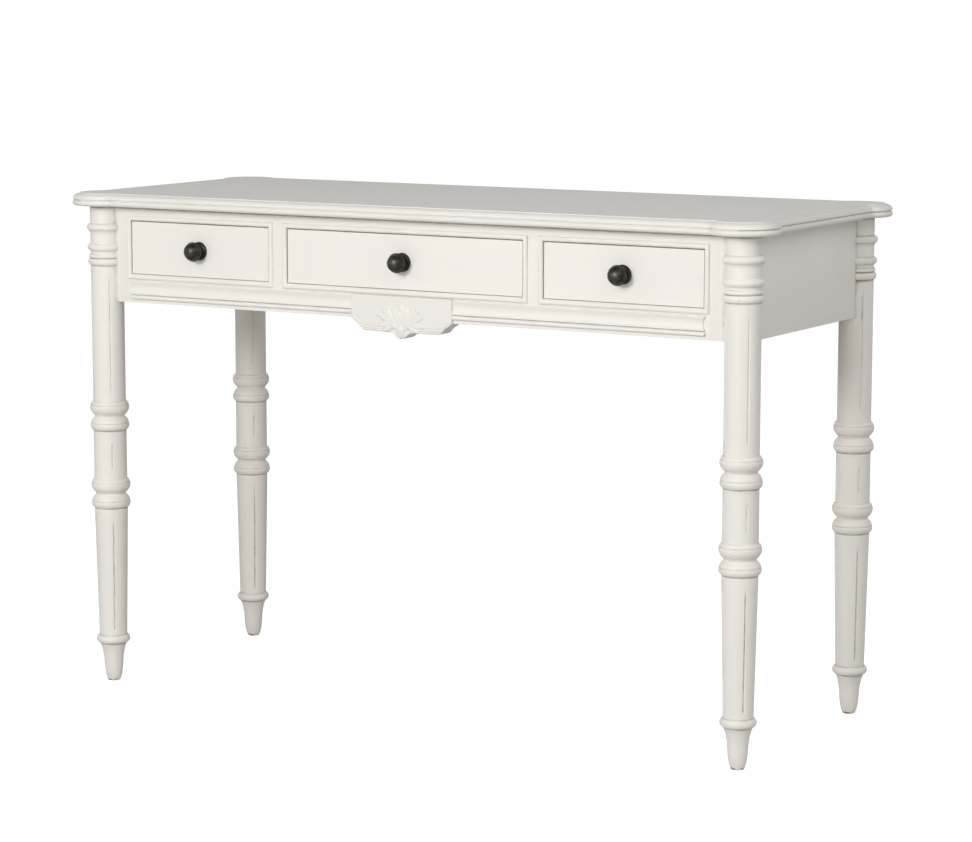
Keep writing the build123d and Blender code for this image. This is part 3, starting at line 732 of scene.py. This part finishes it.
# ---------------------------------------------------------------- the top
EDGE = [  # how far drawn in, height above the underside, hollow, crest; from the underside up
    (9.0, 0.0, 0.3, 0), (6.5, 0.0, 0.2, 0), (4.4, 0.25, 0, 0), (2.4, 1.0, 0, 0), (0.9, 2.2, 0, 0),
    (0.15, 3.6, 0, 0.4), (0.0, 4.8, 0, 0.6), (0.25, 6.2, 0, 0.4), (1.0, 7.5, 0, 0), (2.2, 8.5, 0.1, 0),
    (3.0, 8.9, 0.55, 0), (3.1, 9.5, 0.6, 0), (1.6, 9.9, 0.2, 0), (0.7, 10.3, 0, 0.3), (0.5, 11.2, 0, 0.5),
    (0.7, 12.4, 0, 0.2), (1.3, 13.8, 0, 0), (2.3, 15.2, 0, 0), (3.7, 16.4, 0, 0), (5.4, 17.3, 0, 0),
    (7.4, 17.95, 0, 0), (9.6, 18.3, 0.1, 0), (10.4, 18.5, 0.4, 0), (10.8, 18.9, 0.4, 0), (11.0, 19.4, 0.1, 0),
    (11.3, 19.85, 0, 0.4), (12.0, 20.0, 0, 0.2), (13.5, 20.0, 0, 0),
]
ARC_STEPS = 32
RUN_STEPS = 24
CUSP_STEPS = 2.5  # how many steps of a round the darkening in its cusps reaches
CUSP_REACH = 0.012  # how far it reaches along a straight edge
END_SHADE = 1.8  # painted shade: the ends of the top are made this much darker in their grooves
FIELD_BELOW = 0.4 * MM  # the moulded edge's paint stops this far under the top's surface


def top_outline(inset):
    """Plan of the top, drawn in by the inset: straight edges with a round over each leg. Each point also
    says how near it is to a cusp between a straight edge and a round."""
    reach = top_high.x - LEG_X - inset
    straight = TOP_OVERHANG - inset
    along = math.sqrt(reach ** 2 - straight ** 2)
    turn = math.atan2(along, straight)
    rounds = []
    far = math.pi / 2 + turn
    for sx, sy in ((1, -1), (1, 1), (-1, 1), (-1, -1)):
        begin, end = (far, -turn) if sx != sy else (-turn, far)
        rounds.append([(sx * (LEG_X + reach * math.cos(begin + (end - begin) * i / ARC_STEPS)),
                        sy * (LEG_Y + reach * math.sin(begin + (end - begin) * i / ARC_STEPS)),
                        max(0.0, 1 - min(i, ARC_STEPS - i) / CUSP_STEPS)) for i in range(ARC_STEPS + 1)])
    points = []
    for k, arc_points in enumerate(rounds):
        points += arc_points
        a, b = arc_points[-1], rounds[(k + 1) % 4][0]
        length = math.dist(a[:2], b[:2])
        for i in range(1, RUN_STEPS):
            t = (1 - math.cos(math.pi * i / RUN_STEPS)) / 2
            near = max(0.0, 1 - length * min(t, 1 - t) / CUSP_REACH)
            points.append((a[0] + (b[0] - a[0]) * t, a[1] + (b[1] - a[1]) * t, near))
    return points


def top():
    points, faces, hollow, crest = [], [], [], []
    for inset, up, h, c in EDGE:
        ring = top_outline(inset * MM)
        count = len(ring)
        for x, y, cusp in ring:
            # painted shade: both ends of the top are darker in their grooves than its front and back
            end = END_SHADE if abs(x) > LEG_X + 0.3 * TOP_OVERHANG else 0.0
            x = max(top_low.x, min(top_high.x, x))
            y = max(top_low.y, min(top_high.y, y))
            points.append((x, y, top_low.z + up * MM))
            hollow.append(max(h * (0.75 + 0.5 * max(cusp, end)), 0.55 * cusp if 1 < up < 19.5 else 0.0))
            crest.append(c)
    for k in range(len(EDGE) - 1):
        for i in range(count):
            j = (i + 1) % count
            faces.append((k * count + i, k * count + j, (k + 1) * count + j, (k + 1) * count + i))
    faces.append(tuple(range(count)))
    last = (len(EDGE) - 1) * count
    faces.append(tuple(range(last, last + count)))
    made = mesh_piece("moulded_top", points, faces, hollow, crest)
    settle(made, IVORY_TOP, "desk", "top_board", 35.0)
    made.data.materials.append(IVORY_EDGE)
    for polygon in made.data.polygons:
        if polygon.center.z < top_high.z - FIELD_BELOW:
            polygon.material_index = 1


# ---------------------------------------------------------------- beads and mouldings
BEAD_WIDTH = 7.5
BEAD_PROUD = 4.0
BEAD_RISE = 3.0  # height of its rounded part
BEAD_DEEP = 22.0  # how far it reaches back into the opening
BEAD_LIFT = 0.7  # the lower strip's inner face is this much nearer to the drawer front


def bead_section():
    """Section of the bead round a drawer: distance out from the opening, and height over the frame's face."""
    wide, flank = BEAD_WIDTH, BEAD_PROUD - BEAD_RISE
    loop = [(0.0, -BEAD_DEEP, 0, 0), (0.0, -2.0, 0, 0), (0.0, flank - 0.2, 0, 0)]
    for x, y in arc((0.0, flank), (wide / 2, BEAD_PROUD), (wide, flank), 12):
        loop.append((x, y, 0, max(0.0, 1 - abs(x - wide / 2) / 2.5) * 0.7))
    # the glaze along the bead's outer foot is partly painted shade, cast by the proud bead onto the frame
    loop += [(wide, 0.5, 0.35, 0), (wide, 0.0, 0.55, 0), (wide, -2.0, 0.3, 0), (wide, -BEAD_DEEP, 0, 0)]
    return loop


def bead_frames():
    """The raised bead round each drawer, mitred at the corners."""
    for side in ("left", "centre", "right"):
        node = "bead_frame_" + side
        low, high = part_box(node)
        made = run_tree(FRAMER, "beading_" + side, section_mesh(node, bead_section(), True), {
            "Steps a side": 12, "Width": high.x - low.x - 2 * BEAD_WIDTH * MM,
            "Height": high.z - low.z - 2 * BEAD_WIDTH * MM, "Lift": BEAD_LIFT * MM,
            "Centre": ((low.x + high.x) / 2, FACE, (low.z + high.z) / 2), "Tilt": UPRIGHT,
            "Finish": IVORY_RAIL})
        settle(made, IVORY_RAIL, "desk", node, 35.0)


def moulding_section():
    """Section of the rail moulding from its top down: fillet, hollow, fillet, groove, bead. Each point is
    its height, how far it stands out, hollow and crest."""
    loop = [(28.2, -0.6, 0, 0), (28.2, 4.2, 0, 0.3), (27.9, 4.6, 0, 0.5), (26.3, 4.6, 0, 0.3),
            (26.0, 4.4, 0.2, 0), (25.6, 3.6, 0.6, 0)]
    for out, up in arc((3.5, 25.0), (1.7, 18.0), (3.5, 10.6), 12):
        loop.append((up, out, 0.1, 0))
    loop += [(10.0, 4.0, 0, 0), (9.6, 4.5, 0, 0.4), (8.4, 4.5, 0, 0.3), (8.0, 4.2, 0.2, 0),
             (7.6, 2.0, 0.8, 0), (7.3, 1.5, 1.0, 0), (6.9, 1.6, 1.0, 0)]
    for out, up in arc((2.2, 6.6), (5.0, 3.3), (2.2, 0.2), 10):
        loop.append((up, out, 0, 0.5 if 2 < up < 5 else 0))
    loop += [(0.0, 1.4, 0.7, 0), (0.0, -0.6, 0, 0)]
    return loop


def rail_mouldings():
    """The moulded strips on the lower rail. The outer end of each is mitred and returned."""
    for side in ("left", "right"):
        node = "rail_moulding_" + side
        low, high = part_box(node)
        near, far = (low.x, high.x) if side == "right" else (high.x, low.x)
        made = run_tree(EDGER, "moulding_" + side, section_mesh(node, moulding_section(), True), {
            "Steps": 30, "Near": near, "Far": far, "Proud": 5.0 * MM, "Set in": 0.6 * MM, "Return glaze": 0.8,
            "Centre": (0.0, FACE, low.z), "Tilt": UPRIGHT, "Finish": IVORY_RAIL})
        settle(made, IVORY_RAIL, "desk", node, 32.0)


# ---------------------------------------------------------------- the carving
PANEL_HALF = 87.0  # half the panel's width
DROP = [  # the lower edge of the panel's right half, from its side to the point in the middle
    (PANEL_HALF, 607.5), (86.2, 605.0), (82.0, 601.6), (76.8, 598.6), (72.4, 594.6), (69.0, 590.6),
    (64.5, 588.8), (30.0, 588.2), (17.0, 587.6), (11.0, 584.6), (7.4, 581.2), (3.6, 579.4), (0.0, 579.0),
]


def drop_edge(x):
    """Height of the shaped lower edge at a distance from the middle."""
    x = abs(x)
    for (x1, z1), (x0, z0) in zip(DROP, DROP[1:]):
        if x0 <= x <= x1:
            return z0 + (z1 - z0) * (x - x0) / (x1 - x0)
    return DROP[0][1]


def to_edge(x, z):
    """Distance to the nearest side or lower edge of the panel."""
    x = abs(x)
    best = PANEL_HALF - x
    for (x1, z1), (x0, z0) in zip(DROP, DROP[1:]):
        dx, dz = x1 - x0, z1 - z0
        t = max(0.0, min(1.0, ((x - x0) * dx + (z - z0) * dz) / (dx * dx + dz * dz)))
        best = min(best, math.hypot(x - x0 - dx * t, z - z0 - dz * t))
    return best


def leaf(x, z, cx, cz, turn, length, width, high, curl=0.0):
    """Height of one plump carved leaf, its root at (cx, cz), turned from upright."""
    a = math.radians(turn)
    dx, dz = x - cx, z - cz
    along = dx * math.sin(a) + dz * math.cos(a)
    across = dx * math.cos(a) - dz * math.sin(a)
    if not 0 < along < length:
        return 0.0
    t = along / length
    half = width * math.sin(math.pi * t ** 0.8) ** 0.7 * 0.5
    s = abs(across - curl * t * t * length) / max(0.01, half)
    if s >= 1:
        return 0.0
    vein = 0.16 * max(0.0, 1 - s * 3) * math.sin(math.pi * t)
    return high * (math.sqrt(1 - s * s) * math.sin(math.pi * (0.1 + 0.9 * t)) ** 0.5 - vein)


def dome(x, z, cx, cz, radius, high):
    """Height of a round boss."""
    off = math.hypot(x - cx, z - cz) / radius
    return high * math.sqrt(1 - off * off) if off < 1 else 0.0


SHELL_ROOT = 588.0  # height of the point that the shell fans out from
SHELL_TURN = math.radians(62)  # half the angle that it opens to
SHELL_LONG = 41.0
SHELL_SHORTER = 15.0  # its outermost lobes are this much shorter than the middle one
SHELL_HIGH = 2.7


def shell(x, z):
    """A low fluted fan that opens upward from its root over the point of the panel."""
    turn = math.atan2(x, z - SHELL_ROOT)
    if abs(turn) > SHELL_TURN:
        return 0.0
    lobes = abs(math.cos(3.5 * math.pi * turn / SHELL_TURN))
    edge = SHELL_LONG - SHELL_SHORTER * (turn / SHELL_TURN) ** 2 - 2.2 * (1 - lobes)
    t = math.hypot(x, z - SHELL_ROOT) / edge
    if t >= 1:
        return 0.0
    side = min(1.0, (1 - abs(turn) / SHELL_TURN) * 6)
    fluting = 0.8 + 0.2 * lobes * min(1.0, t * 1.6)
    return SHELL_HIGH * fluting * math.sqrt(1 - t ** 5) * min(1.0, 0.45 + t) * math.sqrt(side)


SPRAY = (  # root x and z, turn, length, width, height, curl of each leaf beside the shell
    (15, 601, 92, 25, 10.0, 2.3, 0.12), (15, 604, 62, 29, 11.0, 2.6, 0.10), (16, 607, 34, 23, 9.5, 2.3, 0.16),
    (13, 598, 118, 20, 8.5, 2.0, -0.05), (18, 611, 12, 17, 7.5, 1.9, 0.14),
)


def carving(x, z):
    """Relief above the panel's field, in millimetres. Neighbouring shapes run softly into each other."""
    heights = [shell(x, z), leaf(x, z, 0.0, 600.0, 180, 20.5, 13.0, 2.9), dome(x, z, 0.0, 594.0, 5.4, 3.5)]
    for side in (-1, 1):
        sx = side * x
        heights += [leaf(sx, z, *one) for one in SPRAY]
        heights += [dome(sx, z, 13.5, 598.0, 4.6, 3.0)]
    eye = dome(x, z, 0.0, 618.5, 4.2, 1.1)
    return sum(h ** 5 for h in heights if h > 0) ** 0.2 - eye


REED_TOP = 611.5
REED_NEAR = 13.0  # the reeding leaves the point in the middle plain


def reeding(edge, x, z):
    """A bead and two fine grooves that follow the lower edge."""
    if z > REED_TOP or abs(x) < REED_NEAR:
        return 0.0
    fade = min(1.0, (REED_TOP - z) / 3.0, (abs(x) - REED_NEAR) / 4.0)
    grooves = max(0.0, 1 - abs(edge - 3.4) / 0.9) + 0.8 * max(0.0, 1 - abs(edge - 7.6) / 0.9)
    bead = 0.5 * math.sqrt(max(0.0, 1 - ((edge - 5.5) / 1.7) ** 2))
    return fade * (bead - 0.75 * grooves)


PANEL_COLUMNS, PANEL_ROWS = 290, 104
ROUNDED = 1.6  # how far the panel's edge is rounded over
AROUND = ((-3, 0), (3, 0), (0, -3), (0, 3), (-2, -2), (2, 2), (-2, 2), (2, -2))


def panel_heights():
    """Columns of (x, z, relief) over the panel's face."""
    top_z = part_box("carved_plaque")[1].z / MM
    columns = []
    for i in range(PANEL_COLUMNS + 1):
        x = -PANEL_HALF + 2 * PANEL_HALF * i / PANEL_COLUMNS
        low_z = drop_edge(x)
        column = []
        for j in range(PANEL_ROWS + 1):
            z = low_z + (top_z - low_z) * j / PANEL_ROWS
            edge = to_edge(x, z)
            lift = carving(x, z)
            rim = -ROUNDED * (1 - edge / ROUNDED) ** 2 if edge < ROUNDED else 0.0
            column.append((x, z, lift + rim + reeding(edge, x, z) * max(0.0, 1 - lift / 0.8)))
        columns.append(column)
    return columns


def carved_panel():
    """The panel as a grid of relief with walls down to the rail behind it."""
    face = FACE - PLAQUE_THICK
    cols, rows = PANEL_COLUMNS, PANEL_ROWS
    heights = panel_heights()
    points, hollow, crest = [], [], []
    for i in range(cols + 1):
        for j in range(rows + 1):
            x, z, h = heights[i][j]
            points.append((x * MM, face - h * MM, z * MM))
            around = [heights[min(cols, max(0, i + a))][min(rows, max(0, j + b))][2] for a, b in AROUND]
            # painted shade: points of the relief that sink below their neighbours are darkened; raised points
            # are marked as crests for chips
            bend = sum(around) / len(around) - h
            hollow.append(max(0.0, min(0.85, bend * 1.3)))
            crest.append(max(0.0, min(0.8, -bend * 1.2)))
    n = rows + 1
    faces = [(i * n + j, i * n + j + 1, (i + 1) * n + j + 1, (i + 1) * n + j)
             for i in range(cols) for j in range(rows)]
    border = [i * n for i in range(cols + 1)] + [cols * n + j for j in range(1, n)]
    border += [i * n + rows for i in range(cols - 1, -1, -1)] + list(range(rows - 1, 0, -1))
    start, m = len(points), len(border)
    for v in border:
        x, y, z = points[v]
        points.append((x, FACE, z))
        # painted shade along the panel's foot, where it meets the rail
        hollow.append(0.5)
        crest.append(0.0)
    faces += [(border[k], border[(k + 1) % m], start + (k + 1) % m, start + k) for k in range(m)]
    faces.append(tuple(range(start, start + m)))
    made = mesh_piece("carved_shell_panel", points, faces, hollow, crest)
    settle(made, IVORY_CARVED, "desk", "carved_plaque", 40.0)


# ---------------------------------------------------------------- knobs
KNOB_LONG = 31.0
KNOB_RIM, RIM_AT = 14.0, 18.9  # radius and height where its domed face begins
DOME_STEPS = 14


def knob_section():
    """Half section of a knob from its base out: foot, neck, flared rim and domed face."""
    line = [(0, 0), (8, 0)]
    line += arc((13.6, 0.1), (14.2, 0.8), (14.0, 1.8), 5)
    line += arc((13.4, 2.3), (11.6, 3.6), (8.8, 4.3), 6)
    line += arc((8.3, 4.6), (6.3, 8.6), (7.4, 12.6), 10)
    line += arc((7.9, 13.4), (10.2, 15.0), (13.2, 15.9), 7)
    line += arc((13.9, 16.1), (14.9, 17.2), (14.4, 18.4), 6)
    line += [(14.05, 18.8)]
    centre = (KNOB_LONG ** 2 - RIM_AT ** 2 - KNOB_RIM ** 2) / (2 * (KNOB_LONG - RIM_AT))
    radius = KNOB_LONG - centre
    begin = math.atan2(KNOB_RIM, RIM_AT - centre)
    for i in range(DOME_STEPS):
        turn = begin * (1 - i / DOME_STEPS)
        line.append((radius * math.sin(turn), centre + radius * math.cos(turn)))
    line.append((0, KNOB_LONG))
    # crests on the rim, the dome's tip and the foot are lighter, as wear and as painted highlight
    return with_marks(line, [(17.2, 1.2, 0, 1.0), (KNOB_LONG, 4.0, 0, 0.6), (1.2, 1.0, 0, 0.8)])


def knobs():
    for side in ("left", "centre", "right"):
        node = "drawer_" + side + "_knob"
        at = middle(node)
        made = run_tree(LATHE, "knob_" + side, section_mesh(node, knob_section()), {
            "Steps round": 72, "Flutes": 1, "Gather": 0.0, "Flute width": 1 * MM, "Flute depth": 0.0,
            "Centre": (at.x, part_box(node)[1].y, at.z), "Tilt": OUT_OF_FRONT, "Finish": BRONZE})
        settle(made, BRONZE, "drawer_" + side, node, 40.0)


# ---------------------------------------------------------------- boards, blocks and screws
def soft_board(name, material, body, ease):
    """A board with its sharp edges eased, in place of its plain node. ease is in millimetres."""
    mesh = NODES[name].data.copy()
    mesh.name = "eased_" + name
    obj = new_object(mesh.name, mesh)
    work = bmesh.new()
    work.from_mesh(mesh)
    bmesh.ops.remove_doubles(work, verts=work.verts, dist=1e-6)
    bmesh.ops.dissolve_limit(work, angle_limit=math.radians(2), verts=work.verts, edges=work.edges)
    bmesh.ops.recalc_face_normals(work, faces=work.faces)
    sharp = math.radians(40)
    edges = [e for e in work.edges if len(e.link_faces) == 2 and e.calc_face_angle() > sharp and e.is_convex]
    bmesh.ops.bevel(work, geom=edges, offset=ease * MM, segments=2, profile=0.5, affect="EDGES",
                    clamp_overlap=True)
    work.to_mesh(mesh)
    work.free()
    settle(obj, material, body, name, 35.0)


def boards():
    for side in ("left", "right"):
        clothe(NODES["front_stile_" + side], IVORY_STILE)
        clothe(NODES["front_divider_" + side], IVORY_RAIL)
        soft_board("side_apron_" + side, IVORY_SIDE, "desk", 0.8)
        for kind in ("outer_runner_", "centre_runner_", "outer_kicker_", "centre_kicker_"):
            clothe(NODES[kind + side], PINE["y"])
    clothe(NODES["front_upper_rail"], IVORY_RAIL)
    clothe(NODES["front_lower_rail"], IVORY_RAIL)
    soft_board("back_apron", IVORY_BACK, "desk", 0.8)
    for corner in CORNERS:
        clothe(NODES["corner_block_" + corner], PINE["z"])
    clothe(NODES["top_screws"], STEEL)
    for side in ("left", "centre", "right"):
        body = "drawer_" + side
        clothe(NODES["drawer_stop_" + side], PINE["x"])
        clothe(NODES[body + "_front"], IVORY_FRONT)
        for board, along in (("_side_left", "y"), ("_side_right", "y"), ("_back", "x")):
            soft_board(body + board, SEALED[along], body, 0.5)
        clothe(NODES[body + "_bottom"], SEALED["x"])
        clothe(NODES[body + "_knob_screw"], STEEL)


# ---------------------------------------------------------------- camera, floor and light
CAMERA_AT = (2.3584, -3.9872, 1.1014)
CAMERA_TURN, CAMERA_DOWN, CAMERA_ROLL = 30.36, 8.23, -0.05  # degrees
CAMERA_LENS, CAMERA_SENSOR = 112.96, 36.0


def camera():
    data = bpy.data.cameras.new("camera")
    obj = new_object("camera", data)
    az, el, roll = (math.radians(angle) for angle in (CAMERA_TURN, CAMERA_DOWN, CAMERA_ROLL))
    ahead = Vector((-math.sin(az) * math.cos(el), math.cos(az) * math.cos(el), -math.sin(el)))
    level = Vector((math.cos(az), math.sin(az), 0.0))
    below = ahead.cross(level)
    right = math.cos(roll) * level + math.sin(roll) * below
    down = -math.sin(roll) * level + math.cos(roll) * below
    turn = Matrix((right, -down, -ahead)).transposed().to_4x4()
    obj.matrix_world = Matrix.Translation(CAMERA_AT) @ turn
    data.sensor_width = CAMERA_SENSOR
    data.lens = CAMERA_LENS
    data.clip_end = 200.0
    bpy.context.scene.camera = obj


WHITE = (1, 1, 1, 1)
SKY, SKY_SEEN = (1.0, 0.992, 0.975, 1), 1.1
HORIZON, ZENITH = 0.70, 0.33  # how bright the room is, low down and overhead
FLOOR_HALF = 60.0
FLOOR_GLOW = 0.78  # keeps the floor pale to the eye without lighting the desk
LAMPS = (  # name, place, aimed at, size, power, colour
    ("key", (0.0, -3.4, 1.72), (0, 0, 0.55), 0.95, 58.0, (1.0, 0.994, 0.982)),
    ("front_fill", (2.22, -6.1, 3.12), (0, 0, 0.5), 4.5, 32.0, (1, 1, 1)),
    ("side_fill", (3.77, -0.66, 3.7), (0, 0, 0.5), 3.0, 44.0, (1, 1, 1)),
)


def is_seen(tree):
    """1 where the camera looks straight at a thing, 0 where light only comes from it."""
    return add(tree, "ShaderNodeLightPath").outputs["Is Camera Ray"]


def room():
    """Pale room, a little brighter low down."""
    scene = bpy.context.scene
    scene.view_settings.view_transform = "Standard"
    world = bpy.data.worlds.new("studio")
    scene.world = world
    world.use_nodes = True
    tree = world.node_tree
    back = tree.nodes["Background"]
    seen = add(tree, "ShaderNodeBackground")
    seen.inputs["Color"].default_value = WHITE
    seen.inputs["Strength"].default_value = SKY_SEEN
    back.inputs["Color"].default_value = SKY
    direction = add(tree, "ShaderNodeSeparateXYZ")
    feed(tree, add(tree, "ShaderNodeTexCoord").outputs["Generated"], direction.inputs[0])
    feed(tree, ramp(tree, direction.outputs["Z"], 0.05, 0.85, HORIZON, ZENITH), back.inputs["Strength"])
    mix = add(tree, "ShaderNodeMixShader")
    for value, socket in zip((is_seen(tree), back.outputs[0], seen.outputs[0]), mix.inputs):
        feed(tree, value, socket)
    feed(tree, mix.outputs[0], tree.nodes["World Output"].inputs["Surface"])


def pale_floor():
    made, tree, shader = new_finish("pale_floor")
    shader.inputs["Base Color"].default_value = (0.6, 0.6, 0.6, 1)
    shader.inputs["Roughness"].default_value = 0.9
    shader.inputs["Specular IOR Level"].default_value = 0.1
    shader.inputs["Emission Color"].default_value = WHITE
    feed(tree, sum_of(tree, "MULTIPLY", is_seen(tree), FLOOR_GLOW), shader.inputs["Emission Strength"])
    return made


def studio():
    """Room and floor, a small soft key straight in front, and two broad fills from the front right and
    the right."""
    room()
    mesh = bpy.data.meshes.new("studio_floor")
    corners = [(x * FLOOR_HALF, y * FLOOR_HALF, 0) for x, y in ((-1, -1), (1, -1), (1, 1), (-1, 1))]
    mesh.from_pydata(corners, [], [(0, 1, 2, 3)])
    mesh.materials.append(pale_floor())
    new_object("studio_floor", mesh)
    for name, at, to, size, power, colour in LAMPS:
        data = bpy.data.lights.new(name, "AREA")
        data.shape = "SQUARE"
        data.size = size
        data.energy = power
        data.color = colour
        lamp = new_object(name, data)
        lamp.location = at
        lamp.rotation_euler = (Vector(to) - Vector(at)).to_track_quat("-Z", "Y").to_euler()


# ---------------------------------------------------------------- the desk
camera()
studio()
boards()
legs()
top()
bead_frames()
rail_mouldings()
carved_panel()
knobs()
